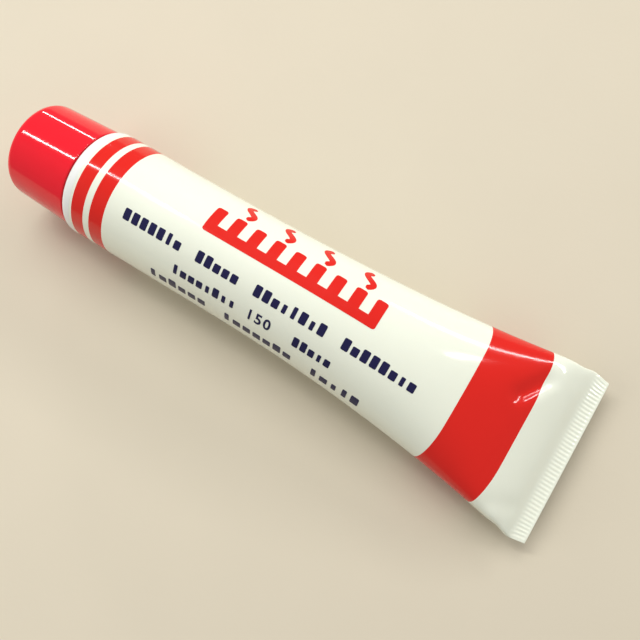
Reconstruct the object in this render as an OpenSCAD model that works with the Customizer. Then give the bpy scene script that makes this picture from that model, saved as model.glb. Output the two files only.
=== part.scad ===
// Collapsible squeeze tube of heat transfer compound, with a wide stand-up screw cap.
// The tube lies on its side. +X runs from the cap's closed end to the crimped tail, +Z is up,
// and the origin is on the surface it lies on, under the middle of its box. Millimetres.

/* [Tube] */
// Outer diameter of the round part of the sleeve
tube_d = 30; // [28:0.5:32]
// Length over everything, from the cap's closed end to the crimped edge
total_len = 162; // [155:1:170]
// Wall thickness of the sleeve
sleeve_wall = 0.5; // [0.4:0.05:0.6]
// Width of the flattened patch that the filled sleeve rests on
patch_w = 8; // [6:0.5:10]

/* [Tail] */
// Distance from the cap's closed end to where the sleeve starts to flatten
taper_start = 55; // [50:1:65]
// Depth of the heat-sealed strip at the end
crimp_depth = 4.5; // [3.5:0.5:6]
// Thickness of the heat-sealed strip
crimp_t = 1; // [0.8:0.1:1.2]
// How far the strip sits below the axis of the round part
crimp_drop = 8.5; // [4:0.5:8.5]

/* [Neck] */
// Root diameter of the threaded neck
neck_d = 12; // [11.5:0.25:12.5]
// Diameter of the passage through the neck
neck_bore_d = 8.4; // [7:0.2:8.8]
// Diameter of the dispensing hole in the neck's tip
orifice_d = 5; // [4:0.5:6]
// Height of the cone between the rim of the shoulder and the neck
shoulder_rise = 4.6; // [4.2:0.2:5]

/* [Thread] */
// Distance that the cap moves in one turn
pitch = 3; // [2.8:0.1:3.2]
// Height of the thread ridge on the neck
ridge_h = 0.9; // [0.7:0.05:0.9]
// Turns of thread on the neck
neck_turns = 3; // [2:0.5:3]
// Turns of thread in the cap's socket
socket_turns = 2.5; // [2:0.5:2.5]

/* [Cap] */
// Length of the cap
cap_len = 19.8; // [19.4:0.2:20.6]
// Outer diameter at the open rim
cap_rim_d = 28.4; // [27:0.2:28.4]
// Outer diameter at the closed end
cap_end_d = 26.8; // [26:0.2:27.2]
// Wall thickness of the skirt
cap_wall = 1.3; // [1.1:0.1:1.4]
// Radius of the rounded edge of the closed end
cap_edge_r = 2; // [1.5:0.25:2.5]
// Number of stiffening webs between the skirt and the socket
web_count = 6; // [4:1:8]

/* [Contents] */
// Distance from the cap's closed end to where the compound stops
fill_end = 128; // [110:1:130]

/* [Hidden] */

// Names ending in _x are distances from the cap's closed end.
tube_r = tube_d / 2;
gap = 0.3;
cap_floor = 1.6;
floor_corner = 1;
liner_t = 1.1;
liner_r = 6;
liner_x = cap_floor + 0.05;
seal_t = 0.15;
seal_x = liner_x + liner_t + 0.1;
tip_chamfer = 0.4;
neck_tip_x = seal_x + seal_t;
rim_x = cap_len + gap;
neck_base_x = rim_x - shoulder_rise;
rim_r = 2;
rim_band = 1;
head_wall = 1.2;
sleeve_x = rim_x + rim_r + rim_band;
spigot_len = 3;
weld_gap = 0.03;
tip_web = 1;
neck_r = neck_d / 2;
bore_r = neck_bore_d / 2;

crimp_x = total_len - crimp_depth;
inner_end_x = crimp_x - 0.4;
sag = tube_r - sqrt(tube_r * tube_r - patch_w * patch_w / 4);
settle_x = sleeve_x + spigot_len;
settle_len = 8;
droop_x = 83;
taper_shape = 2.6;
taper_end = 0.68;
section_x = taper_start - 10;
// Exponent that keeps 4 * (w^k + h^k)^(1/k) equal to the girth from circle to flat
girth_k = ln(2) / ln(PI / 2);

socket_clear = 0.3;
socket_r = neck_r + ridge_h + socket_clear;
socket_wall = 1.2;
socket_mouth_x = neck_base_x;
mouth_widen = 0.4;
mouth_chamfer = 0.6;
socket_ridge_h = 0.95;
web_t = 0.9;
web_sink = 0.3;
web_end_x = 11;
thread_x = neck_tip_x + 1.6;
ridge_root_w = 1.6;
ridge_crest_w = 0.7;
embed = 0.4;
lead_in = 0.35;

fill_clearance = sleeve_wall + 0.15;
fill_x = settle_x + gap;

around = 64;
fill_around = 40;
fill_sections = 14;
outer_sections = 22;
inner_sections = 18;
steps_per_turn = 24;

// Smooth step from 0 to 1 as t goes from 0 to 1
function smooth(t) = let (u = max(0, min(1, t))) u * u * (3 - 2 * u);

// How far the sleeve has tapered at x: 0 where it is round, 1 at the crimp
function taper(x) = max(0, min(1, (x - taper_start) / (crimp_x - taper_start)));

function half_height(x) =
    crimp_t / 2 + (tube_r - crimp_t / 2) * pow(1 - pow(taper(x), taper_shape), taper_end);

function half_width(x) =
    pow(pow(PI * tube_r / 2, girth_k) - pow(half_height(x), girth_k), 1 / girth_k);

function droop(x) = crimp_drop * pow(max(0, (x - droop_x) / (total_len - droop_x)), 2);

function centre_z(x) = tube_r - sag * smooth((x - settle_x) / settle_len) - droop(x);

// The section is an ellipse that squares up into a flat strip at the crimp
function corner(x) = 2 / (2 + 6 * pow(taper(x), 12));

function bend(v, e) = sign(v) * pow(abs(v), e);

// One ring of the sleeve at x, moved in from its outer face by inset, and never under the wall
function ring(x, inset, n) = [
    for (i = [0 : n - 1])
        let (a = 360 * i / n)
            [x - total_len / 2,
             (half_width(x) - inset) * bend(cos(a), corner(x)),
             max(inset, centre_z(x) + (half_height(x) - inset) * bend(sin(a), corner(x)))]
];

// Triangles between ring k and ring k + 1 of n points
function skin(k, n) = [
    for (i = [0 : n - 1])
        let (j = (i + 1) % n, a = k * n, b = (k + 1) * n)
            each [[a + i, b + i, b + j], [a + i, b + j, a + j]]
];

// A closed polyhedron through rings of n points
module loft(rings, n) {
    last = (len(rings) - 1) * n;
    polyhedron(
        points = [for (r = rings) each r],
        faces = concat(
            [[for (i = [0 : n - 1]) i]],
            [for (k = [0 : len(rings) - 2]) each skin(k, n)],
            [[for (i = [n - 1 : -1 : 0]) last + i]]
        )
    );
}

// Stations from a to b, closer together towards b
function stations(a, b, count) = [for (i = [0 : count]) a + (b - a) * sin(90 * i / count)];

// Turns a shape made along +Z so that it lies along the tube's axis
module along_axis() {
    translate([-total_len / 2, 0, tube_r]) rotate([0, 90, 0]) children();
}

// Right-hand helical ridge on a wall of radius wall_r. Its foot is sunk in the wall, and its crest
// rises from lead_in of its height to the whole over half a turn at each end.
module helix_ridge(foot_r, wall_r, crest_r, foot_w, crest_w, start_x, turns) {
    steps = turns * steps_per_turn;
    points = [
        for (i = [0 : steps])
            let (
                a = 360 * i / steps_per_turn,
                x = start_x + pitch * i / steps_per_turn,
                fade = smooth(2 * i / steps_per_turn) * smooth(2 * (steps - i) / steps_per_turn),
                r = wall_r + (crest_r - wall_r) * (lead_in + (1 - lead_in) * fade)
            )
            each [
                [foot_r * cos(a), foot_r * sin(a), x - foot_w / 2],
                [r * cos(a), r * sin(a), x - crest_w / 2],
                [r * cos(a), r * sin(a), x + crest_w / 2],
                [foot_r * cos(a), foot_r * sin(a), x + foot_w / 2]
            ]
    ];
    outward = crest_r > foot_r;
    faces = concat(
        [[0, 1, 2, 3]],
        [for (k = [0 : steps - 1]) each skin(k, 4)],
        [[for (i = [3 : -1 : 0]) steps * 4 + i]]
    );
    polyhedron(
        points = points,
        faces = outward ? [for (f = faces) [for (i = [len(f) - 1 : -1 : 0]) f[i]]] : faces
    );
}

// Flexible extruded sleeve: round at the head, pressed flat and heat-sealed at the tail
module tube_sleeve() {
    front = [sleeve_x, settle_x, settle_x + settle_len / 2, settle_x + settle_len];
    outer = [
        for (x = front) ring(x, 0, around),
        for (x = stations(section_x, crimp_x, outer_sections)) ring(x, 0, around),
        ring(total_len, 0, around)
    ];
    cavity = [
        for (x = front) ring(x, sleeve_wall, around),
        for (x = stations(section_x, inner_end_x, inner_sections)) ring(x, sleeve_wall, around)
    ];
    rings = concat([for (i = [len(cavity) - 1 : -1 : 0]) cavity[i]], outer);
    color("white") loft(rings, around);
}

// Stiff moulded head: shoulder, threaded neck and dispensing hole in one piece
module tube_head() {
    spigot_r = tube_r - sleeve_wall - weld_gap;
    cone_r = tube_r - rim_r;
    color("white") along_axis() {
        rotate_extrude($fn = 96)
            polygon(concat(
                [[orifice_d / 2, neck_tip_x],
                 [neck_r - tip_chamfer, neck_tip_x],
                 [neck_r, neck_tip_x + tip_chamfer],
                 [neck_r, neck_base_x]],
                [for (a = [90 : -15 : 0]) [cone_r + rim_r * cos(a), rim_x + rim_r * (1 - sin(a))]],
                [[tube_r, sleeve_x],
                 [spigot_r, sleeve_x],
                 [spigot_r, sleeve_x + spigot_len],
                 [spigot_r - head_wall, sleeve_x + spigot_len],
                 [spigot_r - head_wall, rim_x + head_wall + rim_r / 2],
                 [cone_r - head_wall, rim_x + head_wall],
                 [bore_r, neck_base_x + head_wall],
                 [bore_r, neck_tip_x + tip_web],
                 [orifice_d / 2, neck_tip_x + tip_web]]
            ));
        helix_ridge(neck_r - embed, neck_r, neck_r + ridge_h, ridge_root_w, ridge_crest_w,
                    thread_x, neck_turns);
    }
}

// Foil membrane sealed across the neck's tip until first use
module orifice_seal() {
    color("silver") along_axis()
        translate([0, 0, seal_x]) cylinder(r = neck_r - tip_chamfer, h = seal_t, $fn = 96);
}

// The paste that fills the sleeve, short of the tail
module heat_transfer_compound() {
    step = (fill_end - fill_x) / fill_sections;
    rings = [for (i = [0 : fill_sections]) ring(fill_x + step * i, fill_clearance, fill_around)];
    color("gainsboro") loft(rings, fill_around);
}

// Soft wad that closes the neck's tip, and rides in the bottom of the cap's socket
module cap_liner() {
    color("whitesmoke") along_axis()
        translate([0, 0, liner_x]) cylinder(r = liner_r, h = liner_t, $fn = 96);
}

// Wide cap: skirt, closed end, threaded socket and stiffening webs in one moulding
module screw_cap() {
    end_r = cap_end_d / 2;
    outer_socket_r = socket_r + socket_wall;
    inner_rim_r = cap_rim_d / 2 - cap_wall;
    inner_end_r = end_r - cap_wall;
    color("red") along_axis() {
        rotate_extrude($fn = 128)
            polygon(concat(
                [[0, 0]],
                [for (a = [90 : -15 : 0])
                    [end_r - cap_edge_r + cap_edge_r * cos(a), cap_edge_r * (1 - sin(a))]],
                [[cap_rim_d / 2, cap_len],
                 [inner_rim_r, cap_len],
                 [inner_end_r, cap_floor + floor_corner],
                 [inner_end_r - floor_corner, cap_floor],
                 [outer_socket_r, cap_floor],
                 [outer_socket_r, socket_mouth_x],
                 [socket_r + mouth_widen, socket_mouth_x],
                 [socket_r, socket_mouth_x - mouth_chamfer],
                 [socket_r, cap_floor],
                 [0, cap_floor]]
            ));
        helix_ridge(socket_r + embed, socket_r, socket_r - socket_ridge_h, ridge_root_w - 0.3,
                    ridge_crest_w - 0.1, thread_x + pitch / 2, socket_turns);
        for (i = [0 : web_count - 1])
            rotate([0, 0, 360 * (i + 0.5) / web_count])
                translate([outer_socket_r - web_sink, -web_t / 2, cap_floor - web_sink])
                    cube([inner_end_r - outer_socket_r + 2.5 * web_sink, web_t,
                          web_end_x - cap_floor + web_sink]);
    }
}

tube_sleeve();
tube_head();
orifice_seal();
heat_transfer_compound();
cap_liner();
screw_cap();
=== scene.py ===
"""Squeeze tube of heat transfer compound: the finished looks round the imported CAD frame.

Lengths are in metres, in the CAD frame: +X runs from the cap's closed end to the crimped tail, +Z
is up. A distance named s is measured along the tube from the cap's closed end, and v is measured
round the sleeve from its top line, positive towards +Y.
"""

import logging
import math
from dataclasses import dataclass
from enum import Enum

import bmesh
import bpy
import numpy as np
from mathutils import Matrix, Vector


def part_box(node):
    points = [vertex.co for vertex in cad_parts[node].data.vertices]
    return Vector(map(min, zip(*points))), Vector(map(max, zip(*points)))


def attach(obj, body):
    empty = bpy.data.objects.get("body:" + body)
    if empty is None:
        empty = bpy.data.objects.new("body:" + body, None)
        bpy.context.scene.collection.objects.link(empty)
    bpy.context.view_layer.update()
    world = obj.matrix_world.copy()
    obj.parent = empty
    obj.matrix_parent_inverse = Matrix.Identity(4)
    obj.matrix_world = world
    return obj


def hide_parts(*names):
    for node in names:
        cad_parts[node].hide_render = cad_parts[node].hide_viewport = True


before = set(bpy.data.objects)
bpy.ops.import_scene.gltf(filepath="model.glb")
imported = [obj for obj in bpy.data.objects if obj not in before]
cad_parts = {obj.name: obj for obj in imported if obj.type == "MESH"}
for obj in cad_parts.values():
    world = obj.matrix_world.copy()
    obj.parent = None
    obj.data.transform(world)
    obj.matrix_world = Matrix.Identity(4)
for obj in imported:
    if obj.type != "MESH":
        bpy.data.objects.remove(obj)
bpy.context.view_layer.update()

MM = 0.001
log = logging.getLogger("squeeze_tube")


class Body(Enum):
    """The CAD bodies that pieces ride on."""

    TUBE = "tube"
    SEAL = "cap_seal"
    CAP = "cap"


def mm(*lengths: float) -> tuple[float, ...]:
    """Lengths in millimetres, turned into metres."""
    return tuple(length * MM for length in lengths)


def placed(name: str, data: bpy.types.ID) -> bpy.types.Object:
    """A new object in the scene that shows a mesh, curve, lamp or camera."""
    made = bpy.data.objects.new(name, data)
    bpy.context.scene.collection.objects.link(made)
    return made


def evaluated(source: bpy.types.Object) -> bpy.types.Mesh:
    """An object's shape after its modifiers, as a plain mesh."""
    graph = bpy.context.evaluated_depsgraph_get()
    return bpy.data.meshes.new_from_object(source.evaluated_get(graph))


# ---------------------------------------------------------------------------------------------
# Node graphs
# ---------------------------------------------------------------------------------------------


class Graph:
    """Adds and links the nodes of one tree."""

    def __init__(self, tree: bpy.types.NodeTree) -> None:
        """Keep the tree that nodes are added to."""
        self.tree = tree

    def feed(self, socket: bpy.types.NodeSocket, value: object) -> None:
        """Link a socket to another, or set its own value.

        Args:
            socket: The input to fill.
            value: An output socket, or a plain value.
        """
        if isinstance(value, bpy.types.NodeSocket):
            self.tree.links.new(value, socket)
        else:
            socket.default_value = value

    def node(self, kind: str, inputs: dict, **options: object) -> bpy.types.Node:
        """Add a node.

        Args:
            kind: Blender's name for the node's type.
            inputs: Socket names or indices, and what each is fed.
            options: The node's own settings.

        Returns:
            The new node.
        """
        made = self.tree.nodes.new(kind)
        for name, value in options.items():
            setattr(made, name, value)
        for name, value in inputs.items():
            self.feed(made.inputs[name], value)
        return made

    def add(self, kind: str, inputs: dict, **options: object) -> bpy.types.NodeSocket:
        """Add a node and return its first output."""
        return self.node(kind, inputs, **options).outputs[0]

    def math(self, operation: str, *values: object) -> bpy.types.NodeSocket:
        """Add a Math node that works on the given sockets or numbers."""
        return self.add("ShaderNodeMath", dict(enumerate(values)), operation=operation)

    def fade(self, value: object, low: object, high: object) -> bpy.types.NodeSocket:
        """Add a smooth step from 0 at low to 1 at high."""
        return self.add(
            "ShaderNodeMapRange",
            {"Value": value, "From Min": low, "From Max": high},
            interpolation_type="SMOOTHSTEP",
        )


class GeometryTree(Graph):
    """A Geometry Nodes tree with named inputs, and the mesh that it grows."""

    def __init__(self, name: str) -> None:
        """Start an empty tree of that name."""
        super().__init__(bpy.data.node_groups.new(name, "GeometryNodeTree"))
        self.tree.interface.new_socket(
            "Geometry", in_out="OUTPUT", socket_type="NodeSocketGeometry"
        )
        self.entry = self.tree.nodes.new("NodeGroupInput")
        self.exit = self.tree.nodes.new("NodeGroupOutput")
        self.identifiers: dict[str, str] = {}

    def size(self, name: str, kind: str = "Float") -> bpy.types.NodeSocket:
        """Add a named input.

        Args:
            name: The input's name.
            kind: Float, Int or Object.

        Returns:
            The socket that carries it inside the tree.
        """
        item = self.tree.interface.new_socket(
            name, in_out="INPUT", socket_type="NodeSocket" + kind
        )
        self.identifiers[name] = item.identifier
        return self.entry.outputs[name]

    def close(self, geometry: bpy.types.NodeSocket, material: bpy.types.Material) -> None:
        """End the tree in Realize Instances and Set Material."""
        real = self.add("GeometryNodeRealizeInstances", {"Geometry": geometry})
        dressed = self.add("GeometryNodeSetMaterial", {"Geometry": real, "Material": material})
        self.feed(self.exit.inputs["Geometry"], dressed)

    def grow(self, values: dict[str, object]) -> bpy.types.Mesh:
        """Evaluate the tree.

        Args:
            values: The value of each named input.

        Returns:
            The result as a plain mesh.
        """
        carrier = placed("carrier", bpy.data.meshes.new("carrier"))
        modifier = carrier.modifiers.new("grow", "NODES")
        modifier.node_group = self.tree
        for name, value in values.items():
            modifier[self.identifiers[name]] = value
        mesh = evaluated(carrier)
        bpy.data.objects.remove(carrier)
        return mesh


# ---------------------------------------------------------------------------------------------
# Finishes
# ---------------------------------------------------------------------------------------------


@dataclass(frozen=True)
class Finish:
    """A moulded, extruded or printed surface with faint mottling and a fine grain."""

    name: str
    colour: tuple[float, float, float]
    roughness: float
    mottle: float = 0.05
    mottle_scale: float = 120.0
    grain_scale: float = 1500.0
    grain_depth: float = 0.004 * MM
    wave_scale: float = 70.0
    wave_depth: float = 0.02 * MM
    metallic: float = 0.0
    through: float = 0.0
    shine: float = 0.5

    def build(self) -> bpy.types.Material:
        """Make the material.

        Returns:
            A material whose patterns read Object coordinates.
        """
        material = bpy.data.materials.new(self.name)
        material.use_nodes = True
        graph = Graph(material.node_tree)
        shader = material.node_tree.nodes["Principled BSDF"]
        place = graph.node("ShaderNodeTexCoord", {}).outputs["Object"]

        def noise(scale: float, detail: float) -> bpy.types.NodeSocket:
            """Add noise of that scale and detail."""
            return graph.add(
                "ShaderNodeTexNoise", {"Vector": place, "Scale": scale, "Detail": detail}
            )

        cloud = noise(self.mottle_scale, 4.0)
        deep = tuple(c * (1.0 - self.mottle) for c in self.colour)
        light = tuple(min(1.0, c * (1.0 + self.mottle)) for c in self.colour)
        tint = graph.node(
            "ShaderNodeMix",
            {"Factor": cloud, "A": (*deep, 1.0), "B": (*light, 1.0)},
            data_type="RGBA",
        )
        graph.feed(shader.inputs["Base Color"], tint.outputs[2])
        smear = graph.add(
            "ShaderNodeMapRange",
            {
                "Value": noise(self.mottle_scale * 2.5, 5.0),
                "To Min": self.roughness * 0.8,
                "To Max": self.roughness * 1.2,
            },
        )
        graph.feed(shader.inputs["Roughness"], smear)
        swell = graph.math("MULTIPLY", noise(self.wave_scale, 1.0), self.wave_depth)
        grain = graph.math("MULTIPLY", noise(self.grain_scale, 3.0), self.grain_depth)
        relief = graph.math("ADD", swell, grain)
        bump = graph.add(
            "ShaderNodeBump", {"Height": relief, "Distance": 1.0, "Strength": 1.0}
        )
        graph.feed(shader.inputs["Normal"], bump)
        shader.inputs["Metallic"].default_value = self.metallic
        shader.inputs["Specular IOR Level"].default_value = self.shine
        shader.inputs["Subsurface Weight"].default_value = self.through
        shader.inputs["Subsurface Radius"].default_value = (1.0, 0.9, 0.8)
        shader.inputs["Subsurface Scale"].default_value = 0.6 * MM
        return material


SLEEVE_WHITE = Finish(
    "sleeve_white", (0.84, 0.865, 0.735), 0.11, 0.012, grain_depth=0.0012 * MM, wave_depth=0.008 * MM,
    through=0.1,
)
RED_INK = Finish(
    "red_ink", (0.70, 0.018, 0.012), 0.1, 0.03, grain_depth=0.001 * MM, wave_depth=0.006 * MM,
    shine=0.36,
)
NAVY_INK = Finish(
    "navy_ink", (0.014, 0.013, 0.062), 0.2, 0.1, grain_depth=0.002 * MM, shine=0.3
)
CAP_RED = Finish(
    "cap_red", (0.79, 0.013, 0.026), 0.075, 0.05, grain_depth=0.0007 * MM, wave_depth=0.004 * MM,
    shine=0.36,
)
HEAD_WHITE = Finish(
    "head_white", (0.83, 0.84, 0.81), 0.2, 0.015, grain_depth=0.002 * MM, wave_depth=0.006 * MM,
    through=0.1,
)
FOIL = Finish(
    "seal_foil", (0.78, 0.79, 0.8), 0.28, 0.05, 400.0, 2500.0, 0.01 * MM, 500.0, 0.05 * MM,
    metallic=1.0,
)
LINER_FOAM = Finish("liner_foam", (0.8, 0.8, 0.76), 0.65, 0.05, 500.0, 3500.0, 0.03 * MM)
PASTE = Finish("white_paste", (0.8, 0.8, 0.77), 0.35, 0.03, 200.0, 900.0, 0.02 * MM)
FLOOR_PALE = Finish(
    "floor_pale", (0.64, 0.575, 0.45), 0.8, 0.02, 30.0, 700.0, 0.02 * MM, 40.0, 0.05 * MM
)


# ---------------------------------------------------------------------------------------------
# Mesh helpers
# ---------------------------------------------------------------------------------------------


def mesh_from(name: str, points: np.ndarray, faces: list[tuple[int, ...]]) -> bpy.types.Mesh:
    """Make a mesh.

    Args:
        name: The mesh's name.
        points: Corner positions, one row each.
        faces: Corner indices of each face, anticlockwise from outside.

    Returns:
        The mesh.
    """
    mesh = bpy.data.meshes.new(name)
    mesh.from_pydata([tuple(p) for p in points], [], faces)
    mesh.validate()
    return mesh


def joined(name: str, meshes: list[bpy.types.Mesh]) -> bpy.types.Mesh:
    """Put several meshes that share one material list into one."""
    work = bmesh.new()
    for mesh in meshes:
        work.from_mesh(mesh)
    result = bpy.data.meshes.new(name)
    work.to_mesh(result)
    work.free()
    return result


def show(
    name: str,
    mesh: bpy.types.Mesh,
    materials: list[bpy.types.Material],
    body: Body,
    stands_for: tuple[str, ...] = (),
    sharp_deg: float = 35.0,
) -> bpy.types.Object:
    """Make a finished piece that rides on a body.

    Args:
        name: The piece's name.
        mesh: Its mesh, in place.
        materials: Its materials, in the order of the mesh's face indices.
        body: The body that it moves with.
        stands_for: The CAD nodes that it replaces.
        sharp_deg: The angle between faces past which an edge stays sharp.

    Returns:
        The piece.
    """
    mesh.name = name
    if not mesh.materials:
        for material in materials:
            mesh.materials.append(material)
    mesh.shade_smooth()
    mesh.set_sharp_from_angle(angle=math.radians(sharp_deg))
    piece = placed(name, mesh)
    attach(piece, body.value)
    if stands_for:
        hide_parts(*stands_for)
    log.info("%s: %d faces on %s", name, len(mesh.polygons), body.value)
    return piece


def ring_faces(rings: int, around: int) -> list[tuple[int, ...]]:
    """Quads between successive closed rings of points, facing away from the rings' middle."""
    faces = []
    for k in range(rings - 1):
        a, b = k * around, (k + 1) * around
        for i in range(around):
            j = (i + 1) % around
            faces.append((a + i, b + i, b + j, a + j))
    return faces


def fan_faces(tip: int, ring: int, around: int, reverse: bool) -> list[tuple[int, ...]]:
    """Triangles between one point and a closed ring of points.

    Args:
        tip: The single point's index.
        ring: The index of the ring's first point.
        around: Points in the ring.
        reverse: True to turn the triangles over.

    Returns:
        One triangle for each side of the ring.
    """
    sides = [(ring + i, ring + (i + 1) % around) for i in range(around)]
    return [(tip, b, a) if reverse else (tip, a, b) for a, b in sides]


def soften(corners: list[tuple[float, float, float]], steps: int = 5) -> list[tuple[float, float]]:
    """Round the corners of an open outline.

    Args:
        corners: Each corner's two coordinates and the length that its rounding takes up.
        steps: Segments in each rounding.

    Returns:
        The outline's points, with a supporting point beside each long straight stretch's ends.
    """
    support = 0.12 * MM
    points: list[Vector] = []
    for i, (r, s, cut) in enumerate(corners):
        here = Vector((r, s))
        if cut == 0 or i in (0, len(corners) - 1):
            points.append(here)
            continue
        before = Vector(corners[i - 1][:2]) - here
        after = Vector(corners[i + 1][:2]) - here
        start = here + before.normalized() * cut
        end = here + after.normalized() * cut
        for k in range(steps + 1):
            t = k / steps
            points.append(start * (1 - t) ** 2 + here * 2 * t * (1 - t) + end * t ** 2)
    full: list[tuple[float, float]] = []
    for a, b in zip(points, points[1:]):
        full.append((a.x, a.y))
        run = (b - a).length
        if run > 5 * support:
            for share in (support / run, 1 - support / run):
                middle = a.lerp(b, share)
                full.append((middle.x, middle.y))
    full.append((points[-1].x, points[-1].y))
    return full


# ---------------------------------------------------------------------------------------------
# Places taken from the frame
# ---------------------------------------------------------------------------------------------


@dataclass(frozen=True)
class TubeFrame:
    """Where the tube's axis and ends are, read from the CAD nodes."""

    start_x: float
    length: float
    axis_z: float
    radius: float
    cap_length: float
    cap_radius: float
    sleeve_front: float
    crimp_half_width: float

    @classmethod
    def read(cls) -> "TubeFrame":
        """Read the CAD nodes' boxes."""
        cap_low, cap_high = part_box("screw_cap")
        head_low, head_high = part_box("tube_head")
        sleeve_low, sleeve_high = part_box("tube_sleeve")
        return cls(
            start_x=cap_low.x,
            length=sleeve_high.x - cap_low.x,
            axis_z=(head_low.z + head_high.z) / 2,
            radius=(head_high.y - head_low.y) / 2,
            cap_length=cap_high.x - cap_low.x,
            cap_radius=(cap_high.y - cap_low.y) / 2,
            sleeve_front=sleeve_low.x - cap_low.x,
            crimp_half_width=(sleeve_high.y - sleeve_low.y) / 2,
        )

    def turned(self, points: np.ndarray) -> np.ndarray:
        """Turn points made along a local +Z so that they lie along the tube's axis."""
        return np.stack(
            [self.start_x + points[:, 2], points[:, 1], self.axis_z - points[:, 0]], axis=1
        )

    def turn_mesh(self, mesh: bpy.types.Mesh) -> bpy.types.Mesh:
        """Turn a mesh made along a local +Z so that it lies along the tube's axis."""
        along = Matrix(((0, 0, 1, self.start_x), (0, 1, 0, 0), (-1, 0, 0, self.axis_z), (0, 0, 0, 1)))
        mesh.transform(along)
        return mesh

    def lathe(
        self, name: str, outline: list[tuple[float, float]], closed: bool, around: int = 192
    ) -> bpy.types.Mesh:
        """Turn an outline round the tube's axis.

        Args:
            name: The mesh's name.
            outline: Points as radius and s, with the material on the right when walking along it.
            closed: True if the outline's end joins its start; False if both ends are on the axis.
            around: Points in each ring.

        Returns:
            A closed mesh.
        """
        body = outline if closed else outline[1:-1]
        angles = np.linspace(0.0, 2 * math.pi, around, endpoint=False)
        rings = [
            np.stack([r * np.cos(angles), r * np.sin(angles), np.full(around, s)], axis=1)
            for r, s in body
        ]
        count = len(rings)
        faces = ring_faces(count, around)
        points = np.concatenate(rings)
        last = (count - 1) * around
        if closed:
            faces += [
                (last + i, i, (i + 1) % around, last + (i + 1) % around) for i in range(around)
            ]
        else:
            faces += fan_faces(len(points), 0, around, False)
            faces += fan_faces(len(points) + 1, last, around, True)
            tips = np.array([[0, 0, outline[0][1]], [0, 0, outline[-1][1]]])
            points = np.concatenate([points, tips])
        mesh = mesh_from(name, self.turned(points), faces)
        return outward(mesh)


def outward(mesh: bpy.types.Mesh) -> bpy.types.Mesh:
    """Make a closed mesh's faces point outwards."""
    work = bmesh.new()
    work.from_mesh(mesh)
    if work.calc_volume(signed=True) < 0:
        bmesh.ops.reverse_faces(work, faces=work.faces)
    work.to_mesh(mesh)
    work.free()
    return mesh


# ---------------------------------------------------------------------------------------------
# Sleeve
# ---------------------------------------------------------------------------------------------


def smooth(value: np.ndarray, low: float, high: float) -> np.ndarray:
    """Smooth step from 0 at low to 1 at high."""
    t = np.clip((value - low) / (high - low), 0.0, 1.0)
    return t * t * (3 - 2 * t)


@dataclass(frozen=True)
class Crease:
    """A soft fold pressed into the sleeve along a line, with a steep side and a slow one."""

    from_s: float
    from_v: float
    to_s: float
    to_v: float
    width: float
    slow_width: float
    depth: float

    def at(self, s: np.ndarray, v: np.ndarray) -> np.ndarray:
        """Depth of the fold at each point, fading out towards its ends."""
        run = np.array([self.to_s - self.from_s, self.to_v - self.from_v])
        length = float(np.hypot(*run))
        run = run / length
        along = (s - self.from_s) * run[0] + (v - self.from_v) * run[1]
        across = (v - self.from_v) * run[0] - (s - self.from_s) * run[1]
        share = along / length
        whole = smooth(share, 0.0, 0.3) * smooth(1.0 - share, 0.0, 0.3)
        width = np.where(across < 0, self.width, self.slow_width)
        return self.depth * whole * np.exp(-((across / width) ** 2))


@dataclass(frozen=True)
class JawMarks:
    """The ridges that the sealing jaws leave on both faces of the sealed strip."""

    ridges: int = 88
    depth: float = 0.13 * MM
    inner_fade: float = 2.0 * MM
    edge_plain: float = 0.3 * MM
    edge_full: float = 1.1 * MM
    side_plain: float = 0.3 * MM
    side_full: float = 1.2 * MM

    def at(self, form: "SleeveForm", s: np.ndarray, v: np.ndarray) -> np.ndarray:
        """Depth of the marks at each point."""
        wave = 0.5 - 0.5 * np.cos(2 * math.pi * self.ridges * v / form.girth)
        inside = smooth(s - form.crimp_start, 0.0, self.inner_fade)
        edge = smooth(form.place.length - s, self.edge_plain, self.edge_full)
        side = smooth(form.to_side(v), self.side_plain, self.side_full)
        return self.depth * wave * inside * edge * side


@dataclass(frozen=True)
class Ripple:
    """The faint unevenness of the filled wall, growing towards the tail."""

    depth: float = 0.04 * MM
    start: float = 60 * MM
    full: float = 120 * MM
    along: float = 9.5 * MM
    slant: float = 7 * MM

    def at(self, form: "SleeveForm", s: np.ndarray, v: np.ndarray) -> np.ndarray:
        """Depth of the ripple at each point."""
        grown = np.clip((s - self.start) / (self.full - self.start), 0.0, 1.0)
        wave = np.sin(s / self.along + form.from_top(v) / self.slant)
        return self.depth * grown * wave * np.sin(2 * math.pi * v / form.girth)


@dataclass(frozen=True)
class Waist:
    """The pinch that the seal leaves in each side, just before the sealed strip."""

    before: float = 3.6 * MM
    depth: float = 0.35 * MM
    length: float = 2.2 * MM
    width: float = 4 * MM

    def at(self, form: "SleeveForm", s: np.ndarray, v: np.ndarray) -> np.ndarray:
        """Depth of the pinch at each point."""
        along = (s - form.crimp_start + self.before) / self.length
        across = form.to_side(v) / self.width
        return self.depth * np.exp(-(along ** 2) - across ** 2)


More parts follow.
